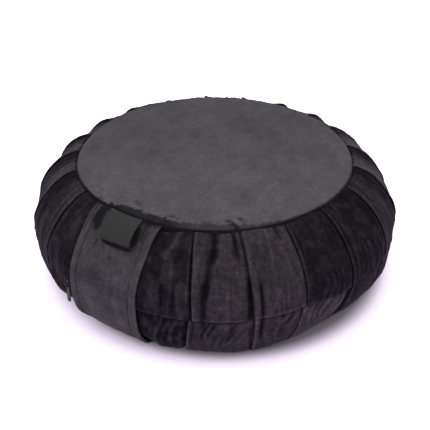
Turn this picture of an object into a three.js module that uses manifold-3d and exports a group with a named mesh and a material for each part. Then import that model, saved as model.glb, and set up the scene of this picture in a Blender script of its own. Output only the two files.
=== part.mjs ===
// Round pleated meditation cushion (zafu), in millimetres, +Z up.
// Its origin is the middle of the flat bottom, and the carrying strap faces -Y.
// A filled wall with twenty-one knife pleats stands between two flat circles of velvet. The wall's cloth is an
// upper and a lower band, joined by a hidden zip. A wide strap is sewn into both circle seams, and a label
// hangs over its top end.
import * as THREE from "three";
import Module from "manifold-3d";
import { mergeVertices } from "three/addons/utils/BufferGeometryUtils.js";

// Driving dimensions
const TOP_SEAM = { radius: 151, height: 128 };
const WIDEST = { radius: 200, height: 71 };
const BOTTOM_SEAM = { radius: 146, height: 3 };
const SHOULDER_POWER = 1.55; // superellipse from the top seam to the widest point: a sloping shoulder
const FOOT_POWER = 2.7; // and from there to the bottom seam: a full, low belly
const CROWN = 7; // rise of the top circle's middle over its seam
const CROWN_POWER = 2.8;
const CLOTH = 2; // velvet with its pile
const GAP = 0.35; // between pieces that touch
const ZIP_DOWN = 94; // from the top seam to the zip, along the wall
const ZIP_TUCK = 0.9; // the lower band lies this much under the upper band's folded edge

// One row for each pleat. at: its azimuth in degrees from the strap, growing towards +X. lean: how many
// degrees it has drifted at the bottom seam. laps: 1 where the panel after it laps over it, -1 where the one
// before does. deep: scale of its crease. puff: how far the panel after it stands out, in mm.
const PLEATS = [
  { at: -9, lean: 0, laps: 1, deep: 0.8, puff: 0 },
  { at: 9, lean: 0, laps: 1, deep: 0.8, puff: -0.4 },
  { at: 26, lean: 2, laps: 1, deep: 0.95, puff: 0.2 },
  { at: 45, lean: 1, laps: 1, deep: 1.1, puff: 0.4 },
  { at: 62.5, lean: -1, laps: 1, deep: 1.05, puff: -0.2 },
  { at: 80, lean: -2, laps: 1, deep: 1.0, puff: 0.3 },
  { at: 98.5, lean: -1, laps: 1, deep: 1.05, puff: 0.8 },
  { at: 117, lean: 0, laps: 1, deep: 1.2, puff: 1.0 },
  { at: 135, lean: 1, laps: 1, deep: 1.15, puff: 0.5 },
  { at: 153.5, lean: 1, laps: 1, deep: 1.0, puff: 0.1 },
  { at: 168.5, lean: 1, laps: 1, deep: 1.1, puff: 0.6 },
  { at: 184.5, lean: 0, laps: 1, deep: 1.05, puff: -0.1 },
  { at: 202, lean: 0, laps: -1, deep: 1.0, puff: 0.4 },
  { at: 218.5, lean: -1, laps: -1, deep: 1.1, puff: 0.9 },
  { at: 235, lean: 0, laps: -1, deep: 1.15, puff: 1.0 },
  { at: 251.5, lean: 0, laps: -1, deep: 1.2, puff: 0.7 },
  { at: 267, lean: -1, laps: -1, deep: 1.1, puff: 0.5 },
  { at: 282, lean: -1, laps: -1, deep: 1.05, puff: 0.3 },
  { at: 297.5, lean: 0, laps: -1, deep: 1.1, puff: 0.1 },
  { at: 314, lean: 1, laps: -1, deep: 1.0, puff: 0.3 },
  { at: 333, lean: 1, laps: -1, deep: 1.15, puff: -0.2 },
];
// How deep a crease is, in mm, by distance down the wall from the top seam.
const CREASES = [
  { down: 0, depth: 0.8 },
  { down: 7, depth: 4.2 },
  { down: 22, depth: 6.2 },
  { down: 50, depth: 5.0 },
  { down: 80, depth: 3.6 },
  { down: 94, depth: 3.0 },
  { down: 120, depth: 4.2 },
  { down: 150, depth: 4.6 },
  { down: 176, depth: 2.6 },
  { down: 190, depth: 0.6 },
];
const COLUMN_SHARES = [0, 0.03, 0.1, 0.25, 0.5, 0.75, 0.9, 0.97]; // where a panel has its columns of points
const FOLD_SHARE = 0.035; // share of a panel over which its lapping edge drops into the crease
const SLOPE_SHARE = 0.11; // and over which the lapped edge does
const UPPER_ROWS = [0, 2.5, 7, 14, 24, 37, 52, 68, 82, ZIP_DOWN]; // distances down the wall
const LOWER_SHARES = [0, 0.16, 0.36, 0.58, 0.78, 0.93, 1]; // the same as shares of the lower band

const STRAP = { middleWidth: 84, endWidth: 75, taper: 40, thick: CLOTH, seat: 0.7, rows: 26 };
const HEM = { width: 8, rise: 0.7, fade: 25 }; // the strap's folded edges are thicker, but for their ends
const STRAP_PRESS = { depth: 2.6, reach: 15, edge: 3 }; // the strap's sewn ends press the wall in
// The label is sewn in askew. side: where its top's middle is, beside the strap's. slant: how far it runs to
// the side for each mm of its drop. lift and tilt: how far its free edge stands off, and how much more at +X.
const LABEL = { width: 41, drop: 32.5, thick: 1, side: -4.3, slant: 0.28, lift: 4.2, tilt: 3.2, rows: 8 };
const SLIDER = { azimuth: -13.3, wide: 8, high: 5.6, thick: 2.4, corner: 1.4, out: 0.55 };
const BAIL = { wire: 1.2, out: 3.1, span: 5, corner: 1.6 };
const PULL = { wide: 5.2, long: 22, thick: 1, eyeWide: 3, eyeHigh: 2.4, rim: 1.1, shoulder: 0.6 };
const TURNED_EDGE = 0.8; // the circles' edges turn into their seams by this much

const rad = THREE.MathUtils.degToRad;
const smooth = (x) => THREE.MathUtils.smoothstep(x, 0, 1);

// The wall's section as a list of points with their distance down the wall. A superellipse quarter joins each
// seam to the widest point.
function wallSection() {
  const steps = 96;
  const points = [];
  for (let i = 0; i <= steps; i++) {
    const turn = (i / steps) * (Math.PI / 2);
    points.push({
      r: THREE.MathUtils.lerp(TOP_SEAM.radius, WIDEST.radius, Math.sin(turn) ** (2 / SHOULDER_POWER)),
      z: THREE.MathUtils.lerp(WIDEST.height, TOP_SEAM.height, Math.cos(turn) ** (2 / SHOULDER_POWER)),
    });
  }
  for (let i = 1; i <= steps; i++) {
    const turn = (i / steps) * (Math.PI / 2);
    points.push({
      r: THREE.MathUtils.lerp(BOTTOM_SEAM.radius, WIDEST.radius, Math.cos(turn) ** (2 / FOOT_POWER)),
      z: THREE.MathUtils.lerp(WIDEST.height, BOTTOM_SEAM.height, Math.sin(turn) ** (2 / FOOT_POWER)),
    });
  }
  points[0].down = 0;
  for (let i = 1; i < points.length; i++)
    points[i].down = points[i - 1].down + stepLength(points[i - 1], points[i]);
  return points;
}
const stepLength = (a, b) => Math.hypot(b.r - a.r, b.z - a.z);
const SECTION = wallSection();
const WALL_LENGTH = SECTION.at(-1).down;

// A point of the smooth wall, as its radius and height, moved out by a distance along the wall's normal.
function wallPoint(down, out) {
  const at = THREE.MathUtils.clamp(down, 0, WALL_LENGTH - 1e-6);
  const after = Math.max(1, SECTION.findIndex((p) => p.down > at));
  const [a, b] = [SECTION[after - 1], SECTION[after]];
  const share = (at - a.down) / (b.down - a.down);
  const length = b.down - a.down;
  const normal = { r: -(b.z - a.z) / length, z: (b.r - a.r) / length };
  return {
    r: THREE.MathUtils.lerp(a.r, b.r, share) + out * normal.r,
    z: THREE.MathUtils.lerp(a.z, b.z, share) + out * normal.z,
  };
}

function creaseDepth(down) {
  const after = Math.max(1, CREASES.findIndex((row) => row.down >= down));
  const [a, b] = [CREASES[after - 1], CREASES[after]];
  return THREE.MathUtils.lerp(a.depth, b.depth, smooth((down - a.down) / (b.down - a.down)));
}

// How far the sewn ends of the strap press the wall in at an azimuth in degrees.
function strapPress(azimuth, down) {
  const turn = THREE.MathUtils.euclideanModulo(azimuth + 180, 360) - 180;
  const half = THREE.MathUtils.radToDeg(STRAP.endWidth / 2 / TOP_SEAM.radius);
  const beside = 1 - smooth((Math.abs(turn) - half) / STRAP_PRESS.edge);
  const nearest = Math.min(down, WALL_LENGTH - down);
  return STRAP_PRESS.depth * beside * Math.exp(-((nearest / STRAP_PRESS.reach) ** 2));
}

const COLUMNS = PLEATS.length * COLUMN_SHARES.length;

// Where a column of the pleated wall stands at a distance down it: its azimuth, and how far out the cloth is.
function pleatedColumn(column, down) {
  const index = Math.floor(column / COLUMN_SHARES.length) % PLEATS.length;
  const own = PLEATS[index];
  const next = PLEATS[(index + 1) % PLEATS.length];
  const leaning = down / WALL_LENGTH;
  const start = own.at + own.lean * leaning;
  const end = next.at + next.lean * leaning + (next.at < own.at ? 360 : 0);
  const across = COLUMN_SHARES[column % COLUMN_SHARES.length];
  const azimuth = THREE.MathUtils.lerp(start, end, across);
  const sunkAtStart = own.deep * Math.exp(-across / (own.laps > 0 ? FOLD_SHARE : SLOPE_SHARE));
  const sunkAtEnd = next.deep * Math.exp(-(1 - across) / (next.laps > 0 ? SLOPE_SHARE : FOLD_SHARE));
  const belly = 4 * across * (1 - across);
  const fade = Math.sin((Math.PI * down) / WALL_LENGTH);
  const out = own.puff * belly * fade - creaseDepth(down) * (sunkAtStart + sunkAtEnd);
  return { azimuth, out: out - strapPress(azimuth, down) };
}

// A closed surface round the pleated wall. Its section is a list of rows, each with its distance down the
// wall and an inset, or a fixed radius and height. A section that starts and ends on the axis is open there,
// and any other one closes on itself. Each cell is cut along the same diagonal of the wall, so that layers of
// cloth stay parallel.
function pleatedSurface(rows) {
  const points = [];
  for (let column = 0; column < COLUMNS; column++)
    for (const row of rows) {
      const { azimuth, out } = pleatedColumn(column, row.down);
      const { r, z } = row.r === undefined ? wallPoint(row.down, out - row.inset) : row;
      points.push(r * Math.sin(rad(azimuth)), -r * Math.cos(rad(azimuth)), z);
    }
  const corners = [];
  const closes = rows[0].r !== 0;
  for (let column = 0; column < COLUMNS; column++)
    for (let i = 0; i < rows.length - (closes ? 0 : 1); i++) {
      const after = (i + 1) % rows.length;
      const here = column * rows.length;
      const beside = ((column + 1) % COLUMNS) * rows.length;
      const [a, b, c, d] = [here + i, beside + i, beside + after, here + after];
      if (rows[i].r === 0) corners.push(a, c, d);
      else if (rows[after].r === 0) corners.push(a, b, c);
      else if (rows[after].down >= rows[i].down) corners.push(a, b, c, a, c, d);
      else corners.push(a, b, d, b, c, d);
    }
  const geometry = new THREE.BufferGeometry();
  geometry.setAttribute("position", new THREE.Float32BufferAttribute(points, 3));
  return geometry.setIndex(corners);
}

function plainLathe(points, columns) {
  const geometry = new THREE.LatheGeometry(points.map(([r, z]) => new THREE.Vector2(r, z)), columns);
  return geometry.rotateX(Math.PI / 2);
}

const crownHeight = (r) => TOP_SEAM.height + CROWN * (1 - (r / TOP_SEAM.radius) ** CROWN_POWER);

// The filled wall: the upper band with its filling, one solid. It is recessed under the top circle, the lower
// band and the bottom circle, which are separate pieces of cloth.
function filledWall() {
  const insetBelow = ZIP_TUCK + CLOTH + GAP;
  const floorZ = CLOTH + GAP;
  const rows = [];
  for (const share of [0, 0.45, 0.8]) {
    const r = share * TOP_SEAM.radius;
    rows.push({ down: 0, r, z: crownHeight(r) - CLOTH - GAP });
  }
  rows.push({ down: 0, r: TOP_SEAM.radius, z: TOP_SEAM.height - CLOTH - GAP });
  for (const down of UPPER_ROWS) rows.push({ down, inset: 0 });
  for (const share of LOWER_SHARES) rows.push({ down: shelfDown(share), inset: insetBelow });
  rows.push({ down: WALL_LENGTH, r: BOTTOM_SEAM.radius - GAP, z: floorZ });
  rows.push({ down: WALL_LENGTH, r: 0, z: floorZ });
  return pleatedSurface(rows.reverse());
}

const shelfDown = (share) => THREE.MathUtils.lerp(ZIP_DOWN + 0.05, WALL_LENGTH, share);
const lowerDown = (share) => THREE.MathUtils.lerp(ZIP_DOWN + 0.05 + GAP, WALL_LENGTH - GAP, share);

// The lower band of velvet, a pleated skin around the filled wall from the zip to the bottom seam.
function lowerBand() {
  const outside = LOWER_SHARES.map((share) => ({ down: lowerDown(share), inset: ZIP_TUCK }));
  const inside = outside.map((row) => ({ down: row.down, inset: row.inset + CLOTH })).reverse();
  return pleatedSurface([...outside, ...inside].reverse());
}

// The top circle: a crowned disc whose edge turns down into the seam.
function topCircle() {
  const edge = TOP_SEAM.radius - GAP;
  const shares = [0, 0.3, 0.55, 0.78, 0.92];
  const upper = shares.map((share) => [share * edge, crownHeight(share * edge)]);
  const shoulder = edge - 1.5 * TURNED_EDGE;
  const turned = [[shoulder, crownHeight(shoulder)], [edge, crownHeight(edge) - TURNED_EDGE]];
  const lower = [0.98, 0.78, 0.45, 0].map((share) => [share * edge, crownHeight(share * edge) - CLOTH]);
  const section = [...upper, ...turned, [edge, crownHeight(edge) - CLOTH], ...lower];
  return plainLathe(section.reverse(), COLUMNS / 2);
}

function bottomCircle() {
  const edge = BOTTOM_SEAM.radius;
  const outside = [[0, 0], [edge - TURNED_EDGE, 0], [edge, TURNED_EDGE]];
  return plainLathe([...outside, [edge, CLOTH], [0, CLOTH]], COLUMNS / 2);
}

// A box bent over the wall. place takes the value from across, the distance down the wall, and whether the
// point is on the box's outer face.
function bentBox(across, downs, place) {
  const geometry = new THREE.BoxGeometry(1, 1, 1, across.length - 1, downs.length - 1, 1);
  const position = geometry.getAttribute("position");
  const nearest = (share, list) => Math.round((share + 0.5) * (list.length - 1));
  for (let i = 0; i < position.count; i++) {
    const x = across[nearest(position.getX(i), across)];
    const down = downs[nearest(-position.getY(i), downs)];
    position.setXYZ(i, ...place(x, down, position.getZ(i) > 0));
  }
  return geometry;
}

// A point over the strap's path: x mm to the side of its middle, down the wall, and out from its crests.
function overWall(x, down, out) {
  const { r, z } = wallPoint(down, out - strapPress(0, down));
  return [r * Math.sin(x / r), -r * Math.cos(x / r), z];
}

function strapHalfWidth(down) {
  const fromEnd = Math.min(down, WALL_LENGTH - down) / STRAP.taper;
  return THREE.MathUtils.lerp(STRAP.endWidth, STRAP.middleWidth, smooth(fromEnd)) / 2;
}

function evenRows(from, to, count) {
  return Array.from({ length: count + 1 }, (_, i) => THREE.MathUtils.lerp(from, to, i / count));
}

function strap() {
  const hem = HEM.width / (STRAP.middleWidth / 2);
  const step = 0.04;
  const half = [0, 0.2, 0.4, 0.6, 1 - hem - step, 1 - hem, 1 - step, 1];
  const across = [...half.slice(1).reverse().map((share) => -share), ...half];
  return bentBox(across, evenRows(GAP, WALL_LENGTH - GAP, STRAP.rows), (share, down, outer) => {
    const hemmed = Math.abs(share) >= 1 - hem && Math.abs(share) < 1;
    const fade = smooth(Math.min(down, WALL_LENGTH - down) / HEM.fade);
    const rise = STRAP.thick + (hemmed ? HEM.rise * fade : 0);
    return overWall(share * strapHalfWidth(down), down, STRAP.seat + (outer ? rise : 0));
  });
}

// The label hangs from the top seam over the strap and stands off towards its free edge.
function label() {
  const across = [-1, -0.5, 0, 0.5, 1];
  return bentBox(across, evenRows(GAP, GAP + LABEL.drop, LABEL.rows), (share, down, outer) => {
    const lift = (LABEL.lift + LABEL.tilt * share) * smooth(down / LABEL.drop);
    const out = STRAP.seat + STRAP.thick + GAP + lift + (outer ? LABEL.thick : 0);
    const x = LABEL.side + (share * LABEL.width) / 2 + LABEL.slant * down;
    return overWall(x, down, out);
  });
}

function roundedRectangle(shape, width, height, radius, midY) {
  const [x, low, high] = [width / 2, midY - height / 2, midY + height / 2];
  shape.moveTo(-x + radius, low);
  shape.lineTo(x - radius, low);
  shape.absarc(x - radius, low + radius, radius, -Math.PI / 2, 0);
  shape.absarc(x - radius, high - radius, radius, 0, Math.PI / 2);
  shape.absarc(-x + radius, high - radius, radius, Math.PI / 2, Math.PI);
  shape.absarc(-x + radius, low + radius, radius, Math.PI, 1.5 * Math.PI);
  return shape;
}

const wasm = await Module();
wasm.setup();

function solidOf(geometry) {
  const bare = geometry.clone().deleteAttribute("normal").deleteAttribute("uv");
  const merged = mergeVertices(bare, 1e-4);
  return new wasm.Manifold(
    new wasm.Mesh({
      numProp: 3,
      vertProperties: new Float32Array(merged.attributes.position.array),
      triVerts: new Uint32Array(merged.index.array),
    }),
  );
}

function geometryOf(solid) {
  const { vertProperties, triVerts } = solid.getMesh();
  return new THREE.BufferGeometry()
    .setAttribute("position", new THREE.BufferAttribute(vertProperties, 3))
    .setIndex(new THREE.BufferAttribute(triVerts, 1));
}

const cutFromSheet = (shape, thickness) =>
  new THREE.ExtrudeGeometry(shape, { depth: thickness, bevelEnabled: false, curveSegments: 5 });

// The zip's slider: a small plate with a bail standing on it. Its plate lies in X and Y and faces +Z.
function zipSlider() {
  const outline = roundedRectangle(new THREE.Shape(), SLIDER.wide, SLIDER.high, SLIDER.corner, 0);
  const plate = cutFromSheet(outline, SLIDER.thick);
  const arch = roundedRectangle(new THREE.Shape(), BAIL.span, 2 * (BAIL.out + BAIL.wire), BAIL.corner, 0);
  const inside = BAIL.span - 2 * BAIL.wire;
  arch.holes.push(roundedRectangle(new THREE.Path(), inside, 2 * BAIL.out, BAIL.corner / 2, 0));
  const bail = cutFromSheet(arch, BAIL.wire);
  bail.translate(0, 0, -BAIL.wire / 2).rotateY(Math.PI / 2).rotateX(Math.PI / 2);
  bail.translate(0, 0, SLIDER.thick);
  const block = 4 * SLIDER.wide;
  const below = new THREE.BoxGeometry(block, block, block).translate(0, 0, (SLIDER.thick - block) / 2);
  return geometryOf(solidOf(plate).add(solidOf(bail).subtract(solidOf(below))));
}

// The pull tab: a plate with an eye at its top and a round end, hanging along -Y from the eye's lower edge.
function zipPull() {
  const tab = new THREE.Shape();
  const half = PULL.wide / 2;
  const top = PULL.eyeHigh + PULL.rim;
  const roundAt = top - PULL.long + half;
  tab.moveTo(PULL.shoulder - half, top);
  tab.lineTo(-half, roundAt);
  tab.absarc(0, roundAt, half, Math.PI, 2 * Math.PI);
  tab.lineTo(half - PULL.shoulder, top);
  const eye = new THREE.Path();
  tab.holes.push(roundedRectangle(eye, PULL.eyeWide, PULL.eyeHigh, PULL.shoulder, PULL.eyeHigh / 2));
  return cutFromSheet(tab, PULL.thick);
}

// Places a small piece on the wall: its own +Z looks out of the wall and its +Y points up.
function onWall(mesh, azimuth, down, out) {
  const { r, z } = wallPoint(down, out);
  const turn = new THREE.Group();
  turn.rotation.z = rad(azimuth);
  mesh.position.set(0, -r, z);
  mesh.rotation.x = Math.PI / 2;
  return turn.add(mesh);
}

const velvet = (shade) => new THREE.MeshStandardMaterial({ color: shade, roughness: 0.9, metalness: 0 });
const darkMetal = new THREE.MeshStandardMaterial({ color: 0x2a2a2d, roughness: 0.4, metalness: 0.8 });
const woven = new THREE.MeshStandardMaterial({ color: 0x1c1c1e, roughness: 0.7, metalness: 0 });

function piece(name, geometry, material) {
  const mesh = new THREE.Mesh(geometry, material);
  mesh.name = name;
  return mesh;
}

const cushion = new THREE.Group();
cushion.add(piece("filled_wall", filledWall(), velvet(0x2b292e)));
cushion.add(piece("lower_band", lowerBand(), velvet(0x2b292e)));
cushion.add(piece("top_circle", topCircle(), velvet(0x545257)));
cushion.add(piece("bottom_circle", bottomCircle(), velvet(0x2b292e)));
cushion.add(piece("strap", strap(), velvet(0x3c3a3f)));
cushion.add(piece("side_label", label(), woven));
cushion.add(onWall(piece("zip_slider", zipSlider(), darkMetal), SLIDER.azimuth, ZIP_DOWN, SLIDER.out));
// The pull's eye hangs on the bail's lower leg.
const pullDown = ZIP_DOWN + SLIDER.high / 2;
const pullOut = SLIDER.out + SLIDER.thick + (BAIL.out - PULL.thick) / 2;
cushion.add(onWall(piece("zip_pull", zipPull(), darkMetal), SLIDER.azimuth, pullDown, pullOut));

export default cushion;
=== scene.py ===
"""A round pleated velvet meditation cushion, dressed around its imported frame.

Shapes are worked out in millimetres in the frame's own axes: +Z up, the strap's middle at -Y, and azimuths in
degrees from the strap, growing towards +X. They become metres when a mesh is made.
"""

import math
from collections import namedtuple

import bpy
import numpy as np
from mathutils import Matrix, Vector


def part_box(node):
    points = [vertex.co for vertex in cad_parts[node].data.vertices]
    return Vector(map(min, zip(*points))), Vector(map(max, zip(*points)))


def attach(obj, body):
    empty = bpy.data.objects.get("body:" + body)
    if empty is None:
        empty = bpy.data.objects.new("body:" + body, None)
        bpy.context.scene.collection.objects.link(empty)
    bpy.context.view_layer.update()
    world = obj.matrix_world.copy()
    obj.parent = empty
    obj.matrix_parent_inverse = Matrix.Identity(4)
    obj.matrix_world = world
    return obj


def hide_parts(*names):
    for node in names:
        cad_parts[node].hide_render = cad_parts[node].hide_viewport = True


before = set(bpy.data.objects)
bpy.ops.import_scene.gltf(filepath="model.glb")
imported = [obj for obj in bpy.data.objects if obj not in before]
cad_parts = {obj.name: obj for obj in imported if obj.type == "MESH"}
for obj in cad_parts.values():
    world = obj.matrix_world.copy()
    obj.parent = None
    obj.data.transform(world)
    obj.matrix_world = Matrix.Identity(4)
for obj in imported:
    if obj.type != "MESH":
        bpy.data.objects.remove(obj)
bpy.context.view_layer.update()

MM = 0.001


def node_width(node):
    """A CAD node's width in mm."""
    low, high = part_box(node)
    return (high - low).x / MM


def table(kind, *rows):
    """Rows of a table as named tuples of one kind."""
    return [kind(*row) for row in rows]


# Sizes that the frame gives
CREST_RISE = 3.3  # the wall's crests stand this far above its top seam
TOP_RADIUS = node_width("top_circle") / 2
BOTTOM_RADIUS = node_width("bottom_circle") / 2
TOP_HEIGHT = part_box("filled_wall")[1].z / MM - CREST_RISE  # of the top seam
CROWN_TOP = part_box("top_circle")[1].z / MM

# Sizes that only the looks need
WIDEST_RADIUS = 201.4
WIDEST_HEIGHT = 71
FOOT_HEIGHT = 0.5  # of the bottom seam, pressed to the floor
SHOULDER_POWER = 1.55  # the wall's section is a superellipse above its widest point, and another below it
FOOT_POWER = 3.0
ZIP_DOWN = 94  # from the top seam to the zip, along the wall
CLOTH = 1.6  # its thickness
NAP_RANGE = 6.5  # nap tones become logarithms, so that marks keep their contrast in dark panels
UNSEEN_NAP = 0.3  # the tone of faces that lie inside
PLAIN_NAP = 0.4  # and of the bottom circle and the top one's underside
BEHIND_CLOTH = 4  # how deep the filling lies behind the lower band's face
UNDER_TOP = 4  # how deep it lies under the top circle, besides what the circle's rim drops
OVER_FLOOR = 4.5  # how high it lies over the floor

# One row for each pleat. at, zip_at: its azimuths at the top seam and the zip. low_at, foot_at: the same
# for the lower band, at the zip and the bottom seam. laps: 1 where the panel after it laps over it, -1
# where the one before does. deep: scale of its crease. slope: how far from it the lapped panel starts to
# dip, in mm. tone, low_tone: how light the nap is in the panel after it, above and below the zip.
Pleat = namedtuple("Pleat", "at zip_at low_at foot_at laps deep slope tone low_tone")
PLEATS = table(
    Pleat,
    (-9, -9, -9, -9, 1, 0.8, 5, 0.46, 0.5),
    (9, 9, 9, 8, 1, 0.8, 5, 0.26, 0.22),
    (27.6, 28.2, 27.2, 24.4, 1, 1, 3.6, 0.63, 0.6),
    (44.5, 45.9, 46.2, 45.8, 1, 1.15, 3.4, 0.68, 0.56),
    (61.9, 61.8, 61, 54, 1, 0.6, 2.2, 0.15, 0.8),
    (79.6, 79.2, 78.6, 67, 1, 0.5, 2.4, 0.12, 0.25),
    (99.8, 98.9, 97, 92, 1, 0.4, 3, 0.2, 0.4),
    (118.4, 118.4, 116, 112, 1, 0.5, 4, 0.34, 0.5),
    (135.4, 136.5, 135, 130, 1, 0.5, 4, 0.4, 0.6),
    (153, 153.5, 153, 149, 1, 0.5, 4, 0.44, 0.4),
    (168.5, 169, 169, 166, 1, 0.6, 4.5, 0.48, 0.55),
    (184.5, 184.5, 184, 184, 1, 0.6, 4.5, 0.54, 0.45),
    (202, 202, 202, 203, -1, 0.6, 4.5, 0.5, 0.6),
    (218.5, 218, 218, 220, -1, 0.6, 4.5, 0.46, 0.4),
    (235, 235, 236, 238, -1, 0.6, 4.5, 0.52, 0.45),
    (251.5, 252, 253, 255, -1, 0.6, 4.5, 0.46, 0.55),
    (267, 266.5, 267, 270, -1, 0.5, 4, 0.36, 0.4),
    (282, 281.5, 282, 285, -1, 0.5, 4, 0.32, 0.46),
    (297.5, 297, 298, 300, -1, 0.5, 4, 0.32, 0.44),
    (314.6, 314.2, 314, 316, -1, 0.45, 3.6, 0.26, 0.36),
    (332.4, 333, 334, 336, -1, 0.6, 3.2, 0.22, 0.28),
)
# How deep a crease is and how far its lapping edge overhangs it, in mm, by distance down the wall.
CREASE_DOWN = (0, 3, 10, 22, 45, 70, 94, 115, 150, 176, 186)
CREASE_DEPTH = (0.4, 2.2, 4.2, 5, 4.4, 3.6, 3, 3.4, 4.2, 2.6, 0.8)
CREASE_OVERHANG = (0.4, 1.4, 1.7, 1.6, 1.3, 1, 0.8, 1, 1.2, 0.9, 0.4)
# Towards the back the panels sink between their pleats: a scale by azimuth, and mm by distance down.
SINK_AT = (-180, -52, -36, -12, 60, 80, 99, 118, 180)
SINK_SCALE = (1, 1, 0.6, 0, 0, 0.15, 0.5, 1, 1)
SINK_DOWN = (0, 4, 10, 24, 45, 70, 94, 130, 186)
SINK_DEEP = (0, 1.4, 3, 4.2, 4.2, 3.4, 2.2, 1.4, 0)
# How much painted shade darkens a panel's flank beside the lapping edge, and how much painted sheen lightens
# the rest, by azimuth, and the share of both by distance down.
FLANK_AT = (-180, -90, -54, -36, -18, 64, 88, 109, 127, 145, 180)
FLANK_PAINTED_SHADE = (0.9, 1, 1, 0.9, 0, 0, 0.2, 1, 1, 1, 0.9)
FLANK_PAINTED_SHEEN = (0.5, 0.54, 0.5, 0.16, 0, 0, 0, 0.1, 0.8, 0.85, 0.5)
FLANK_DOWN = (0, 40, 62, 84)
FLANK_SHARE = (1, 1, 0.1, 0)
BACK_AZIMUTH = 193  # past it the panels lap the other way
ROLL_STEPS = 9  # points round a lapping edge
EDGE_STEPS = 13  # points at each side of a panel, the roll's among them
MIDDLE_STEPS = 23
SLOPE_REACH = 15  # how far the closer points run along the lapped side
RIDGE = 0.45  # a lapping edge stands this much proud

# The top circle's rim, by azimuth: how far down the strap and the cloth pull its seam, how high it puffs
# up inside the seam, how far in its rim is darkened, all in mm, and how dark. The dark band is brushed nap
# with painted shade where the rim rolls down into the seam.
RIM_AT = (-60, -40, -22, -15, -11, -4, 4, 10, 14, 17, 22, 26, 38, 44, 48, 54, 62, 72, 88, 120)
RIM_DROP = (0.8, 0.5, 0.2, 0.4, 1, 1.4, 1.4, 1.8, 3, 3.4, 1.4, 0.2, 0, 0, 0, 0, 0.2, 0.5, 1, 0.8)
RIM_PUFF = (0.3, 0.5, 0.8, 1.4, 2, 2.2, 2.2, 2.2, 2.2, 2.2, 2, 1.8, 1.8, 1.2, 0.9, 0.8, 0.7, 0.6, 0.5, 0.3)
RIM_DARKENED_REACH = (2, 2, 2.6, 3.4, 8, 13, 15, 13, 11, 11.5, 10, 10.5, 12, 9, 7, 6, 5, 4, 3, 2)
RIM_DARK = (0.1, 0.2, 0.5, 0.7, 0.78, 0.78, 0.78, 0.78, 0.74, 0.68,
            0.58, 0.5, 0.48, 0.46, 0.46, 0.5, 0.5, 0.46, 0.4, 0.1)
TOP_PAINTED_LIGHT_SIDE = math.radians(34)  # the side towards which painted light makes the top lighter
# How far the wall's foot swells, or falls in where it is slack, and how far the zip has drifted down, both
# in mm by azimuth.
FOOT_AT = (-90, -50, -40, -30, -24, -19, -15, 13, 18, 27, 35, 43,
           52, 60, 66, 72, 78, 90, 97, 104, 112, 125, 150)
FOOT_SWELL = (0, 1, 2, 0, -2, -5.5, -4, -2, 3, 2.4, 3, 4.2,
              4, 0, -3.5, -4, -3.5, -2.5, 0.5, 4.5, 4, 2.2, 0)
FOOT_SWELL_DOWN = 148  # where it swells most
FOOT_SWELL_REACH = 30
FOOT_SWELL_FADE = 14  # it is gone at the bottom seam, and fades over this
ZIP_AT = (-60, -30, -19, -13, 12, 20, 27, 41, 48, 55, 61, 67, 74, 79, 86, 120)
ZIP_DRIFT = (0, 4, 4, 1.2, -1.4, 0.2, 1.6, 2.8, 1.4, 0.9, -2.2, -0.8, 1.4, 0, -2.2, 0)
ZIP_DRIFT_REACH = 30

# How much patches of brushed nap change its tone, by azimuth.
BRUSH_AT = (-170, -60, -46, -30, 8, 14, 26, 29, 46, 64, 100, 170)
BRUSH_TONE = (0.14, 0.14, 0.2, 0.16, 0.26, 0.3, 0.24, 0.12, 0.09, 0.1, 0.14, 0.14)
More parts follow.
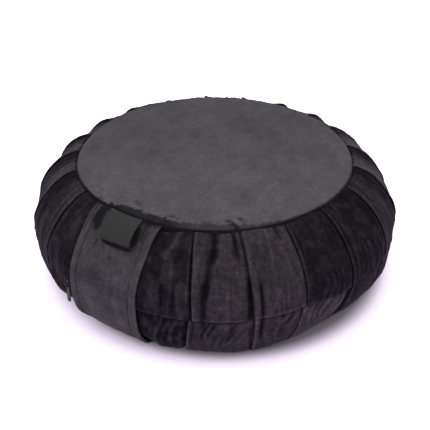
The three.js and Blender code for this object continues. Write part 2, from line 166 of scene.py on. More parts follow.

# Soft folds in the wall, from one azimuth and distance down the wall to another. deep is in mm, and a
# ridge has a negative one. wide is half the width, in mm. tone is what the fold takes off the cloth's tone,
# mostly painted shade in a valley and a painted highlight on a ridge.
Fold = namedtuple("Fold", "at down to_at to_down deep wide tone")
UPPER_FOLDS = table(
    Fold,
    (41.1, -3, 41.9, 40, 1.7, 2.2, 0.62),  # darts below the top seam
    (56.9, -3, 57.1, 21, 1.5, 1.7, 0.5),
    (34.5, -6, 34, 40, 2.4, 3.6, 0.7),  # a winding valley beside the pleat at 27
    (33.8, 16, 31.4, 76, 1.8, 3.6, 0.62),
    (31.6, 50, 30.6, 106, 2.2, 3.4, 0.66),
    (26.2, 2, 26.8, 92, -0.5, 0.9, -0.42),
    (29, 6, 29.3, 98, -0.5, 0.9, -0.2),
    (44.4, 48, 44.4, 108, 1.8, 2.8, 0.85),  # where pleats open into two lines towards the zip
    (46.2, 6, 46.6, 106, -0.5, 0.9, -0.26),
    (47.7, 50, 48.2, 108, 2, 1.8, 0.75),
    (63.6, 40, 64, 86, -0.3, 0.8, -0.16),
    (63.2, 12, 63.4, 70, 0.4, 0.8, 0.2),
    (80.9, 6, 80.7, 84, 0.7, 1, 0.22),
    (87.4, -8, 82.3, 32, -0.7, 1.3, -0.32),
    (82.3, 20, 81.9, 104, -0.7, 1.1, -0.34),
    (92.5, -6, 85.5, 38, 0.9, 2.6, 0.12),
    (98, -6, 93, 26, -0.6, 2.2, -0.22),
    (101.4, 8, 100.2, 70, -0.4, 0.9, -0.24),
    (108, -6, 101.4, 70, -0.6, 1.3, -0.26),
    (104.6, 2, 101, 60, 0.6, 1.2, 0.16),
    (110, 20, 110, 90, -0.8, 4, -0.2),
    (22.8, -4, 18.2, 42, -0.7, 1.9, -0.3),  # brushed and creased between the strap and the pleat at 27
    (24, 20, 21, 44, 0.8, 3, 0.14),
    (17.9, 50, 17.7, 104, -0.5, 1.4, -0.3),
    (19.3, 56, 19, 106, 0.9, 1.2, 0.26),
    (21.4, 40, 21, 104, -0.5, 1.5, -0.24),
    (22.7, 56, 22.5, 104, 0.6, 0.9, 0.16),
    (24.2, 50, 23.6, 104, -0.5, 1.1, -0.26),
    (15.2, 20, 14.6, 104, 0.8, 2.4, 0.1),
    (-31.6, 4, -31, 68, -0.6, 1.1, -0.28),
    (-30.2, 4, -29.6, 74, 0.9, 1.3, 0.26),
    (-26, 46, -25.6, 98, -0.6, 1, -0.3),
    (-23.4, 62, -23.8, 106, -0.6, 1, -0.26),
    (-22.4, 62, -22.6, 106, 0.7, 1, 0.22),
    (-19.8, 52, -19, 100, -0.6, 1.2, -0.26),
    (-16.2, 66, -15.4, 104, -0.6, 1.2, -0.24),
    (-36.5, 40, -34, 104, -0.8, 2.2, -0.24),
    (-40, 10, -39, 90, 0.9, 2.4, 0.12),
    (-53, 4, -53, 90, -0.9, 4.5, -0.24),
    (-70, 4, -70, 90, -0.9, 4.5, -0.24),
    (29, 40, 29.6, 110, 0, 2.4, 0.14),  # patches of nap alone
    (22.6, 4, 22.4, 76, 0, 4, -0.14),
    (19, 64, 18, 120, 0, 3.4, -0.12),
    (54, 50, 54, 116, 0, 8, 0.1),
)
LOWER_FOLDS = table(
    Fold,
    (27.6, 84, 25.6, 156, -0.6, 0.9, -0.42),
    (28.9, 84, 27.2, 136, 1, 1.1, 0.34),
    (46.3, 84, 45.9, 160, -0.6, 0.9, -0.4),
    (48.2, 84, 47.7, 132, 2.4, 1.8, 0.65),
    (44.7, 100, 44.6, 146, 1.2, 1.4, 0.36),
    (42.2, 88, 36.6, 126, 1.5, 2.2, 0.45),
    (44, 90, 35.6, 138, -0.8, 1.5, -0.3),
    (31.2, 92, 30.6, 126, 1.1, 2.3, 0.4),
    (34.6, 90, 33.4, 122, 1, 2, 0.32),
    (38.4, 92, 32.4, 142, -0.7, 1.5, -0.22),
    (79.2, 84, 73.4, 156, 2.6, 2.6, 0.8),
    (80.9, 84, 76.6, 140, -0.7, 0.9, -0.6),
    (77.2, 86, 71, 138, -0.7, 1, -0.4),
    (82, 86, 81, 118, 1, 4.5, 0.2),
    (87, 96, 84, 150, 0.9, 2.2, -0.22),
    (92, 92, 94, 130, -0.8, 1.4, -0.25),
    (-19, 96, -17, 150, 0.9, 2.4, -0.16),
    (-38, 92, -36, 150, 1, 3, 0.16),
    (-56, 92, -54, 150, 1, 3, -0.16),
    (17.5, 104, 15, 150, 0.9, 2.6, -0.18),
    (21.5, 100, 20, 150, 0.8, 2, -0.16),
    (57, 130, 54, 200, 0, 16, 0.3),  # painted shade, darker towards the foot
)
# Runs of fine creases, side by side: the azimuths and distances down that they lie between, how far apart
# they are, how high, and how much they slant, in mm sideways for each mm down.
Run = namedtuple("Run", "at to_at down to_down apart high slant")
UPPER_CREASES = table(
    Run,
    (82, 99, 52, 112, 9.8, 0.5, -0.06),
    (63, 79, 60, 112, 8.6, 0.42, -0.04),
    (-45, -31, 46, 112, 7, 0.34, 0.05),
    (-70, -46, 50, 112, 6.4, 0.34, 0.05),
    (100, 170, 54, 112, 7.6, 0.38, -0.06),
    (190, 290, 54, 112, 7.2, 0.38, 0.06),
    (48, 61, 66, 112, 7.4, 0.16, -0.04),
    (-78, -29, 4, 60, 5.2, 0.2, 0.05),
    (101, 168, 4, 60, 5.2, 0.2, -0.05),
)
LOWER_CREASES = table(
    Run,
    (48.6, 77, 80, 134, 10.2, 0.85, -0.42),
    (13, 27, 84, 150, 8, 0.3, -0.2),
    (28, 45, 84, 140, 7.4, 0.34, -0.5),
    (78, 175, 80, 134, 9.2, 0.62, -0.5),
    (190, 300, 80, 134, 9, 0.62, 0.5),
    (-60, -14, 80, 136, 8.4, 0.5, 0.45),
)

STRAP_WIDTH = 84
STRAP_NARROWING = 8.4  # from the CAD strap's widest part to its end
STRAP_END_WIDTH = node_width("strap") - STRAP_NARROWING
STRAP_ASKEW = 4  # how far its top end is sewn in to the side
STRAP_TAPER = 40  # it narrows and turns askew over this much of its ends
STRAP_HALF_ANGLE = 14  # of the wall that it covers, about
STRAP_SEAT = 0.7  # off the wall's crests
STRAP_PRESS = 2.6  # how far it presses the wall in at the bottom seam
STRAP_PRESS_REACH = 15
ROLL_REACH = 14  # how far down the wall the rolled seam is felt
HEM = 8
LABEL_WIDTH = 41
LABEL_DROP = 32.5
LABEL_THICK = 1.1
LABEL_GAP = 0.5  # over the strap
LABEL_SIDE = -4.3  # its top's middle, beside the strap's
LABEL_SLANT = 0.28  # it is sewn in askew: mm to the side for each mm down
LABEL_LIFT = 4.2  # how far its free edge stands off
LABEL_TILT = 3.2  # and how much more at +X


def smooth(x):
    """0 below 0 and 1 above 1, with a smooth step between."""
    x = np.clip(x, 0, 1)
    return x * x * (3 - 2 * x)


def bump(x, wide):
    """1 at 0, falling to about a third at half the bump's width."""
    return np.exp(-((x / wide) ** 2))


def wrapped(azimuth):
    """An azimuth or a difference of two, from -180 to 180."""
    return (np.asarray(azimuth) + 180) % 360 - 180


# ---- the wall's section ----


def wall_section():
    """The smooth wall between its two seams: distance down, radius, height, and the normal out."""
    turn = np.linspace(0, math.pi / 2, 400)
    across, down = np.sin(turn) ** (2 / SHOULDER_POWER), np.cos(turn) ** (2 / SHOULDER_POWER)
    r = TOP_RADIUS + (WIDEST_RADIUS - TOP_RADIUS) * across
    z = WIDEST_HEIGHT + (TOP_HEIGHT - WIDEST_HEIGHT) * down
    across, down = np.cos(turn) ** (2 / FOOT_POWER), np.sin(turn) ** (2 / FOOT_POWER)
    r = np.append(r, BOTTOM_RADIUS + (WIDEST_RADIUS - BOTTOM_RADIUS) * across[1:])
    z = np.append(z, WIDEST_HEIGHT - (WIDEST_HEIGHT - FOOT_HEIGHT) * down[1:])
    far = np.append(0, np.cumsum(np.hypot(np.diff(r), np.diff(z))))
    dr, dz = np.gradient(r, far), np.gradient(z, far)
    size = np.hypot(dr, dz)
    return far, r, z, -dz / size, dr / size


SECTION = wall_section()
WALL_LENGTH = SECTION[0][-1]


def wall_radius(down):
    return np.interp(down, SECTION[0], SECTION[1])


def round_table(azimuth, at, values):
    """A value that a table gives by azimuth."""
    return np.interp(wrapped(azimuth), at, values)


def around(turn, r, z):
    """Points at azimuths in radians, from their radii and heights."""
    return np.stack(np.broadcast_arrays(r * np.sin(turn), -r * np.cos(turn), z), -1)


def on_wall(azimuth, down, out):
    """Points on the wall, an array of rows of columns of x, y and z. The zip's drift bends it a little."""
    down = down + round_table(azimuth, ZIP_AT, ZIP_DRIFT) * bump(down - ZIP_DOWN, ZIP_DRIFT_REACH)
    swell = round_table(azimuth, FOOT_AT, FOOT_SWELL) * smooth((WALL_LENGTH - down) / FOOT_SWELL_FADE)
    out = out + swell * bump(down - FOOT_SWELL_DOWN, FOOT_SWELL_REACH)
    r, z, nr, nz = (np.interp(down, SECTION[0], part) for part in SECTION[1:])
    return around(np.radians(azimuth), r + out * nr, z + out * nz)


def waves(azimuth, down, longest, shortest, count, seed):
    """An uneven field from about -1 to 1, made of waves that close on themselves round the wall."""
    draw = np.random.default_rng(seed)
    field = np.zeros(np.broadcast(azimuth, down).shape)
    for _ in range(count):
        length = longest * (shortest / longest) ** draw.random()
        heading = draw.uniform(0, 2 * math.pi)
        turns = round(WIDEST_RADIUS * 2 * math.pi * math.cos(heading) / length)
        climb = 2 * math.pi * math.sin(heading) / length
        field += np.cos(np.radians(azimuth) * turns + down * climb + draw.uniform(0, 2 * math.pi))
    return field / math.sqrt(count)


def fold_share(azimuth, down, fold):
    """How much of a fold there is at each point, from 0 to 1."""
    along = (down - fold.down) / (fold.to_down - fold.down)
    middle = fold.at + (fold.to_at - fold.at) * along
    across = np.radians(wrapped(azimuth - middle)) * wall_radius(down)
    return bump(across, fold.wide) * smooth(along / 0.2) * smooth((1 - along) / 0.35)


def crease_run(azimuth, down, run, seed):
    """Height of a run of fine creases, in mm."""
    span = run.to_at - run.at
    across = wrapped(azimuth - run.at - span / 2) + span / 2
    inside = smooth(across / 5) * smooth((span - across) / 5)
    tall = run.to_down - run.down
    inside = inside * smooth((down - run.down) / (0.3 * tall)) * smooth((run.to_down - down) / (0.45 * tall))
    side = np.radians(across) * WIDEST_RADIUS - run.slant * (down - run.down)
    side = side + 2.4 * waves(azimuth, down, 90, 30, 8, seed)
    uneven = 0.7 + 0.5 * waves(azimuth, down, 60, 20, 8, seed + 1)
    return run.high * inside * uneven * np.cos(2 * math.pi * side / run.apart)


def under_strap(azimuth):
    """1 where the strap lies, falling to 0 beside it."""
    return 1 - smooth((np.abs(wrapped(azimuth)) - STRAP_HALF_ANGLE + 2.5) / 3.5)


def seam_press(azimuth, down):
    """How far the rolled top seam and the strap's lower end press the wall in."""
    rolled = round_table(azimuth, RIM_AT, RIM_DROP) * bump(down, ROLL_REACH)
    return rolled + STRAP_PRESS * under_strap(azimuth) * bump(WALL_LENGTH - down, STRAP_PRESS_REACH)


# ---- the pleated wall ----


def panel_side(deep, overhang, rolled):
    """The columns beside one pleat: how far from it, how far out, and the painted highlight and painted shade
    that they add to the tone. The lapping side is rolled in, and panel_section dips the other."""
    if not rolled:
        far = SLOPE_REACH * (np.arange(EDGE_STEPS) / (EDGE_STEPS - 1)) ** 1.5 * np.ones_like(deep)
        return np.stack([far, 0 * far, 0 * far])
    turn = np.linspace(-math.pi / 2, math.pi / 2, ROLL_STEPS)
    rest = np.linspace(0.7, 4.2, EDGE_STEPS - ROLL_STEPS) * np.ones_like(deep)
    far = np.concatenate([-overhang * np.cos(turn), rest], 1)
    out = np.concatenate([-deep * (1 - np.sin(turn)) / 2, 0 * rest], 1)
    tucked = np.clip(-out / deep, 0, 1)
    # a painted highlight along the rolled edge, and painted shade where it tucks into the crease
    return np.stack([far, out, 0.30 * bump(far - 0.9, 1.1) * (1 - tucked) - 0.7 * tucked])


def panel_section(wide, start, end, depths, overhang):
    """One panel's columns at each row: how far along it, how far out, and what they add to the tone, with
    painted shade in the dips. wide is its width at each row, and start and end are its pleats."""
    left = panel_side(depths * start.deep, overhang * start.deep, start.laps > 0)
    right = panel_side(depths * end.deep, overhang * end.deep, end.laps < 0)[..., ::-1]
    right[0] = wide - right[0]
    from_x, to_x = left[0, :, -1:], right[0, :, :1]
    x = from_x + (to_x - from_x) * np.arange(1, MIDDLE_STEPS + 1) / (MIDDLE_STEPS + 1)
    x, y, tone = np.concatenate([left, np.stack([x, 0 * x, 0 * x]), right], 2)
    for pleat, rolled, far in ((start, start.laps > 0, x), (end, end.laps < 0, wide - x)):
        if rolled:
            y = y + RIDGE * bump(far - 1.2, 2.2) * (far > 0)
        else:
            y = y - depths * pleat.deep * bump(far, pleat.slope)
            # painted shade in the lapped side's dip beside the crease
            tone = tone - 0.42 * bump(far, 0.85 * pleat.slope)
    return x[:, :-1], y[:, :-1], tone[:, :-1]


def pleat_line(pleat, down, low):
    """A pleat's azimuth at distances down the wall, in the upper or the lower band."""
    top, foot = (pleat.low_at, pleat.foot_at) if low else (pleat.at, pleat.zip_at)
    share = (down - ZIP_DOWN) / (WALL_LENGTH - ZIP_DOWN) if low else down / ZIP_DOWN
    return top + (foot - top) * share


def panel_filling(middle, across, down):
    """How far out a panel is filled, and the painted shade and sheen its flanks add to the tone. across is
    from 0 to 1.
    """
    belly = 4 * across * (1 - across)
    sinking = round_table(middle, SINK_AT, SINK_SCALE)
    out = 0.6 * (1 - sinking) * belly - sinking * np.interp(down, SINK_DOWN, SINK_DEEP) * belly**0.8
    to_back = across if wrapped(middle - BACK_AZIMUTH) < 0 else 1 - across
    # painted shade on the flank nearer the back, and painted sheen on the rest of the panel
    dark = round_table(middle, FLANK_AT, FLANK_PAINTED_SHADE) * smooth((to_back - 0.64) / 0.16)
    light = round_table(middle, FLANK_AT, FLANK_PAINTED_SHEEN) * smooth((0.66 - to_back) / 0.45)
    return out, (0.9 * light - 0.28 * dark) * np.interp(down, FLANK_DOWN, FLANK_SHARE)


def pleated(down, low):
    """The pleated cloth at rows down the upper or the lower band: azimuth, out and tone, with painted shade
    and sheen.
    """
    deep = np.interp(down, CREASE_DOWN, CREASE_DEPTH)
    overhang = np.interp(down, CREASE_DOWN, CREASE_OVERHANG)
    radius = wall_radius(down)
    panels = []
    for i, start in enumerate(PLEATS):
        end = PLEATS[(i + 1) % len(PLEATS)]
        from_pleat, to_pleat = pleat_line(start, down, low), pleat_line(end, down, low)
        wide = np.radians((to_pleat - from_pleat) % 360) * radius
        x, out, tone = panel_section(wide, start, end, deep, overhang)
        middle = start.at + (end.at - start.at) % 360 / 2
        filled, flank = panel_filling(middle, np.clip(x / wide, 0, 1), down)
        tone = tone + flank + (start.low_tone if low else start.tone)
        panels.append((from_pleat + np.degrees(x / radius), out + filled, tone))
    return (np.concatenate(columns, 1) for columns in zip(*panels))


def dressed(down, low):
    """The pleated cloth with its folds, fine creases and lumps: azimuth, out and tone, painted shade and
    highlights in it.
    """
    azimuth, out, tone = pleated(down, low)
    for fold in LOWER_FOLDS if low else UPPER_FOLDS:
        share = fold_share(azimuth, down, fold)
        out = out - fold.deep * share
        # painted shade in a fold's valley and a painted highlight on its ridge
        tone = tone - fold.tone * share
    for i, run in enumerate(LOWER_CREASES if low else UPPER_CREASES):
        height = crease_run(azimuth, down, run, 40 + 2 * i + 20 * low)
        out = out + height
        # painted highlights on the fine creases' crests, painted shade in their troughs
        tone = tone + (0.32 if low else 0.20) * height / run.high
    gathers = waves(azimuth, down, 14, 5, 24, 3) * bump(np.minimum(down, WALL_LENGTH - down) - 2, 6)
    out = out + 0.35 * gathers + 0.8 * waves(azimuth, down, 120, 50, 12, 5)
    out = out + 0.12 * waves(azimuth, down, 16, 8, 24, 9)
    brushed = smooth((waves(azimuth, down, 60, 12, 30, 13 + low) + 0.1) / 0.7) - 0.5
    tone = tone + round_table(azimuth, BRUSH_AT, BRUSH_TONE) * brushed
    held = under_strap(azimuth)
    out = out * (1 - held) + np.minimum(out, -0.4) * held - seam_press(azimuth, down)
    return azimuth, out, tone


def crown_height(r):
    """The height of the crowned top, at a radius."""
    return TOP_HEIGHT + (CROWN_TOP - TOP_HEIGHT) * (1 - np.clip(r / TOP_RADIUS, 0, 1) ** 4)


def on_cloth(azimuth, down):
    """Where points lie on the wall's cloth, in metres round it and down it. Brushed marks follow it."""
    round_it = np.radians(azimuth) * WIDEST_RADIUS * MM
    return np.stack(np.broadcast_arrays(round_it, down * MM, 0.0), -1)


# ---- meshes ----


def add_object(name, data):
    """Puts a mesh, a light or a camera into the scene."""
    holder = bpy.data.objects.new(name, data)
    bpy.context.scene.collection.objects.link(holder)
    return holder


def make_piece(name, points, faces, material, nap=None, cloth=None):
    """A smooth-shaded mesh. On velvet, nap is the cloth's tone at each point, from 0 to 2, the pile's own
    tone with painted shade and painted highlights in it, and cloth is where the point lies on the flat cloth,
    in metres."""
    mesh = bpy.data.meshes.new(name)
    mesh.from_pydata((np.asarray(points) * MM).tolist(), [], faces)
    mesh.polygons.foreach_set("use_smooth", [True] * len(mesh.polygons))
    if nap is not None:
        tone = (np.log1p(np.clip(nap, 0, 2) * NAP_RANGE) / math.log1p(2 * NAP_RANGE)).astype(np.float32)
        place = cloth.astype(np.float32)
        # this tone is the pile's own tone with painted shade and painted highlights in it
        mesh.attributes.new("nap", "FLOAT", "POINT").data.foreach_set("value", tone.ravel())
        mesh.attributes.new("cloth", "FLOAT_VECTOR", "POINT").data.foreach_set("vector", place.ravel())
    mesh.materials.append(material)
    mesh.update()
    return add_object(name, mesh)


def grid_faces(rows, columns, wrap_rows=False, first=0):
    """Quads between rows and closed columns of points, facing out where rows go down and azimuths grow."""
    i = np.arange(rows if wrap_rows else rows - 1)[:, None]
    j = np.arange(columns)[None, :]
    here, below = first + i * columns, first + (i + 1) % rows * columns
    after = (j + 1) % columns
    return np.stack([here + j, below + j, below + after, here + after], -1).reshape(-1, 4).tolist()


def lathe_piece(name, points, material, nap, poles=None, cloth=None):
    """A closed piece from rows of points round the middle. poles are the heights of the points that close its
    ends, and without them the rows close on themselves."""
    rows, columns = points.shape[:2]
    place = (points * MM if cloth is None else cloth).reshape(-1, 3)
    points, tones = points.reshape(-1, 3), nap.reshape(-1)
    faces = grid_faces(rows, columns, wrap_rows=poles is None)
    if poles is not None:
        top, bottom, last = len(points), len(points) + 1, (rows - 1) * columns
        for j in range(columns):
            k = (j + 1) % columns
            faces += [(top, j, k), (bottom, last + k, last + j)]
        ends = np.array([[0, 0, height] for height in poles])
        points, place = np.vstack([points, ends]), np.vstack([place, ends * MM])
        tones = np.append(tones, [tones[0], tones[-1]])
    return make_piece(name, points, faces, material, tones, place)


def ribbon_piece(name, outer, inner, material, nap=None, cloth=None):
    """A closed ribbon from the same rows of points on both its faces."""
    rows, columns = outer.shape[:2]
    ring = np.concatenate([outer, inner[:, ::-1]], 1)
    faces = grid_faces(rows, 2 * columns)
    last = (rows - 1) * 2 * columns
    for j in range(columns - 1):
        back = 2 * columns - 1 - j
        faces.append((j, j + 1, back - 1, back))
        faces.append((last + j + 1, last + j, last + back, last + back - 1))
    return make_piece(name, ring.reshape(-1, 3), faces, material, nap, cloth)


# ---- materials ----


class Nodes:
    """A material's nodes, made and joined by short calls."""

    def __init__(self, name):
        self.material = bpy.data.materials.new(name)
        self.material.use_nodes = True
        self.tree = self.material.node_tree
        self.shader = self.tree.nodes["Principled BSDF"]

    def add(self, kind, **values):
        """A node, with its settings and its sockets' constants."""
        node = self.tree.nodes.new(kind)
        for key, value in values.items():
            if hasattr(node, key):
                setattr(node, key, value)
            else:
                node.inputs[key.replace("_", " ").title()].default_value = value
        return node

    def join(self, out, into):
        self.tree.links.new(out, into)

    def surface(self, values):
        """Sets what is the same all over the surface, on the shader's own sockets."""
        for name, value in values.items():
            self.shader.inputs[name].default_value = value

    def place(self):
        return self.add("ShaderNodeTexCoord").outputs["Object"]

    def attribute(self, name, output="Fac"):
        return self.add("ShaderNodeAttribute", attribute_name=name).outputs[output]

    def noise(self, scale, detail, roughness, stretch=None, where=None):
        node = self.add("ShaderNodeTexNoise", scale=scale, detail=detail, roughness=roughness)
        place = where or self.place()
        if stretch:
            mapping = self.add("ShaderNodeMapping", scale=stretch)
            self.join(place, mapping.inputs["Vector"])
            place = mapping.outputs["Vector"]
        self.join(place, node.inputs["Vector"])
        return node.outputs["Fac"]

    def math(self, operation, *values):
        node = self.add("ShaderNodeMath", operation=operation)
        for socket, value in zip(node.inputs, values):
            if isinstance(value, (int, float)):
                socket.default_value = value
            else:
                self.join(value, socket)
        return node.outputs[0]

    def centred(self, factor, strength):
        """A noise's value, centred on 0 and scaled."""
        return self.math("MULTIPLY", self.math("SUBTRACT", factor, 0.5), strength)

    def ramp(self, factor, stops):
        node = self.add("ShaderNodeValToRGB")
        spare = node.color_ramp.elements
        while len(spare) < len(stops):
            spare.new(0.5)
        for element, (position, colour) in zip(spare, stops):
            element.position = position
            element.color = (*colour, 1)
        self.join(factor, node.inputs["Fac"])
        return node.outputs["Color"]

    def colour(self, factor, stops):
        self.join(self.ramp(factor, stops), self.shader.inputs["Base Color"])

    def relief(self, height, strength, distance, under=None):
        node = self.add("ShaderNodeBump", strength=strength, distance=distance)
        self.join(height, node.inputs["Height"])
        if under is not None:
            self.join(under, node.inputs["Normal"])
        return node.outputs["Normal"]


def shades(dark, light):
    """Ramp stops from dark to light in even ratios."""
    shares = [i / 7 for i in range(8)]
    return [(share, [low * (high / low) ** share for low, high in zip(dark, light)]) for share in shares]


def velvet(name, dark, light, brushed=1.0, clouds=1.0, grain=1.0):
    """Short-pile velvet. Its tone follows the cloth's tone attribute, the pile's own tone with painted shade
    and painted highlights in it, with clouds, marks brushed along and across the cloth, specks, and a fine
    pile.
    brushed and clouds scale theirs, and grain the specks and the pile."""
    nodes = Nodes(name)
    cloth = nodes.attribute("cloth", "Vector")
    down_it = nodes.noise(48, 3, 0.60, stretch=(4, 1, 4), where=cloth)
    round_it = nodes.noise(46, 2, 0.50, stretch=(1, 6, 1), where=cloth)
    specks, pile = nodes.noise(240, 3, 0.60), nodes.noise(1500, 2, 0.50)
    # the cloth's tone, with painted shade and painted highlights in it
    tone = nodes.attribute("nap")
    for factor, strength in (
        (nodes.noise(34, 3, 0.55), 0.38 * clouds),
        (down_it, 0.60 * brushed),
        (round_it, 0.26 * brushed),
        (specks, 0.55 * grain),
        (pile, 0.40 * grain),
    ):
        tone = nodes.math("ADD", tone, nodes.centred(factor, strength))
    nodes.colour(tone, shades(dark, light))
    nodes.surface({"Roughness": 0.85, "Specular IOR Level": 0.01})
    nodes.surface({"Sheen Weight": 0.02, "Sheen Roughness": 0.38, "Sheen Tint": (0.80, 0.72, 0.84, 1)})
    relief = nodes.relief(down_it, 0.35, 0.0012)
    relief = nodes.relief(specks, 0.45 * grain, 0.0005, relief)
    relief = nodes.relief(pile, 0.45 * grain, 0.0003, relief)
    nodes.join(relief, nodes.shader.inputs["Normal"])
    return nodes.material


def satin(name):
    """A woven label's face: fine ribs across it."""
    nodes = Nodes(name)
    grain = nodes.noise(900, 3, 0.5, stretch=(1, 1, 4))
    nodes.colour(grain, ((0.3, (0.0108, 0.0110, 0.0115)), (0.75, (0.0178, 0.0178, 0.0184))))
    nodes.surface({"Roughness": 0.6, "Specular IOR Level": 0.03})
    ribs = nodes.add("ShaderNodeTexWave", wave_type="BANDS", bands_direction="Z", scale=700, distortion=0.6)
    nodes.join(nodes.place(), ribs.inputs["Vector"])
    nodes.join(nodes.relief(ribs.outputs["Fac"], 0.35, 0.0002), nodes.shader.inputs["Normal"])
    return nodes.material


def lacquered_metal(name):
    """Worn black lacquer over metal."""
    nodes = Nodes(name)
    wear = nodes.noise(700, 4, 0.6)
    nodes.colour(wear, ((0.45, (0.008, 0.008, 0.009)), (0.8, (0.04, 0.04, 0.043))))
    dull = nodes.ramp(wear, ((0.3, (0.40, 0.40, 0.40)), (0.8, (0.60, 0.60, 0.60))))
    nodes.join(dull, nodes.shader.inputs["Roughness"])
    nodes.surface({"Metallic": 0.2, "Specular IOR Level": 0.10})
    return nodes.material


def thread(name):
    """A twisted black sewing thread."""
    nodes = Nodes(name)
    twist = nodes.noise(2600, 2, 0.5)
    nodes.colour(twist, ((0.3, (0.012, 0.011, 0.013)), (0.7, (0.035, 0.033, 0.037))))
    nodes.surface({"Roughness": 0.6})
    return nodes.material


WALL_VELVET = velvet("wall_velvet", (0.0031, 0.0023, 0.0034), (0.0422, 0.0364, 0.0414))
TOP_VELVET = velvet("top_velvet", (0.0048, 0.0039, 0.0052), (0.0883, 0.0862, 0.0934),
                    brushed=0.12, clouds=0.42, grain=0.42)
STRAP_VELVET = velvet("strap_velvet", (0.0053, 0.0046, 0.0055), (0.0800, 0.0725, 0.0815),
                      brushed=0.3, clouds=0.45, grain=0.7)
BASE_VELVET = velvet("base_velvet", (0.0029, 0.0023, 0.0033), (0.0411, 0.0346, 0.0411))
LABEL_SATIN = satin("label_satin")
ZIP_METAL = lacquered_metal("zip_metal")
THREAD = thread("black_thread")


# ---- the pieces ----


def filled_wall():
    """The upper band over the filling, one closed form. Below the zip it runs on behind the lower band."""
    down = np.concatenate([[0, 0.5, 1.1, 1.8, 2.7, 3.8, 5.2], np.linspace(6.8, 91, 66),
                           [92, 92.9, 93.5]])[:, None]
    azimuth, out, tone = dressed(down, False)
    seam = bump(down, 1.8)
    out = out - 2.0 * seam + 0.35 * smooth((down - 90) / 2.5)
    face = on_wall(azimuth, down, out)
    # a painted highlight on the folded edge at the zip, and painted shade in the top seam
    tone = tone + 0.26 * bump(down - 92.8, 1.1) - 0.7 * seam
    # the folded edge at the zip, and the way back behind the lower band
    fold = [on_wall(azimuth[-1], ZIP_DOWN + far, out[-1] - back)
            for far, back in ((0.1, 0.25), (0.3, 0.8), (0.3, 1.6), (0.1, BEHIND_CLOTH))]
    hidden = np.linspace(ZIP_DOWN + 4, WALL_LENGTH - 2, 9)[:, None]
    low_azimuth, low_out, _ = dressed(hidden, True)
    behind = on_wall(low_azimuth, hidden, np.minimum(low_out, -1) - BEHIND_CLOTH)
    # the filling's lid and floor
    under_crown = UNDER_TOP + max(RIM_DROP)
    lids = [around(np.radians(azimuth[0]), r, crown_height(r) - under_crown) for r in (60, 125, 144)]
    floor = [around(np.radians(low_azimuth[-1]), r, OVER_FLOOR) for r in (138, 60)]
    rows = np.stack([*lids, *face, *fold, *behind, *floor])
    tones = np.full(rows.shape[:2], UNSEEN_NAP)
    cloth = rows * MM
    seen = slice(len(lids), len(lids) + len(face))
    tones[seen] = tone
    cloth[seen] = on_cloth(azimuth, down)
    poles = (crown_height(0) - under_crown, OVER_FLOOR)
    piece = lathe_piece("cushion_wall", rows, WALL_VELVET, tones, poles, cloth)
    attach(piece, "root")
    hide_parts("filled_wall")


def lower_band():
    """The lower band of the wall, a pleated skin with both its faces."""
    down = np.concatenate([[94.7, 95.2, 96, 97.2], np.linspace(98.8, WALL_LENGTH - 6, 46),
                           WALL_LENGTH - np.array([4.4, 3, 1.8, 0.8, 0.2])])[:, None]
    azimuth, out, tone = dressed(down, True)
    under_zip = down - down[0]
    out = out - 1.0 - 0.9 * bump(under_zip, 1.2)
    outside = on_wall(azimuth, down, out)
    outside[..., 2] = np.maximum(outside[..., 2], 0.3)
    picked = np.r_[0, 2, 4 : len(down) - 6 : 5, len(down) - 4, len(down) - 1]
    inside = on_wall(azimuth[picked], down[picked], out[picked] - CLOTH)
    inside[..., 2] = np.maximum(inside[..., 2], outside[picked][..., 2] + 0.4 * CLOTH)
    rows = np.concatenate([outside, inside[::-1]])
    tones = np.full(rows.shape[:2], UNSEEN_NAP)
    # a little lighter past 112 mm down, painted shade towards the floor, and painted shade under the zip's
    # edge
    foot = 0.10 * smooth((down - 112) / 25) - 0.25 * smooth((down - 150) / 25)
    tones[: len(down)] = tone + foot - 0.5 * bump(under_zip, 1.6)
    cloth = rows * MM
    cloth[: len(down)] = on_cloth(azimuth, down)
    piece = lathe_piece("lower_band_cloth", rows, WALL_VELVET, tones, cloth=cloth)
    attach(piece, "root")
    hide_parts("lower_band")


# Small marks brushed into the top's nap near its rim: how far in from it, and half their length round the
# rim and half their width, in mm. tone is what a mark takes off the nap's.
Mark = namedtuple("Mark", "at inward long wide tone")
TOP_MARKS = table(
    Mark,
    (-8.5, 21, 5, 6, 0.13),
    (32.4, 14.5, 2, 1.8, 0.3),
    (35.8, 13.5, 2.4, 1.8, 0.28),
    (40.2, 14.5, 3.4, 3.4, 0.72),
    (41.8, 9, 1.9, 4.6, 0.6),
    (43, 3.5, 1.8, 3.5, 0.5),
    (45.4, 17, 2.6, 3.2, 0.76),
    (46.8, 12.5, 1.5, 2.4, 0.36),
    (48.8, 5.5, 2.2, 1.7, 0.4),
    (53.5, 13, 2.2, 1.6, 0.24),
    (29.2, 12, 2.6, 4, 0.22),
    (-4.6, 24.5, 2.8, 2.4, 0.46),
    (-2, 22, 3.6, 2, 0.34),
    (15.8, 18, 4.4, 2.4, 0.5),
    (13.8, 13, 1.3, 4, 0.36),
    (18.8, 14, 1.4, 3.4, 0.24),
    (-28.3, 6, 2.6, 2.5, 0.18),
    (-26.5, 12.5, 5, 1.8, 0.2),
    (-18.5, 4, 2.6, 2.2, 0.46),
    (-22.4, 7.5, 1.7, 2.5, 0.3),
    (52.5, 60, 3, 8, 0.17),
    (81.4, 29, 3, 3, 0.1),
)


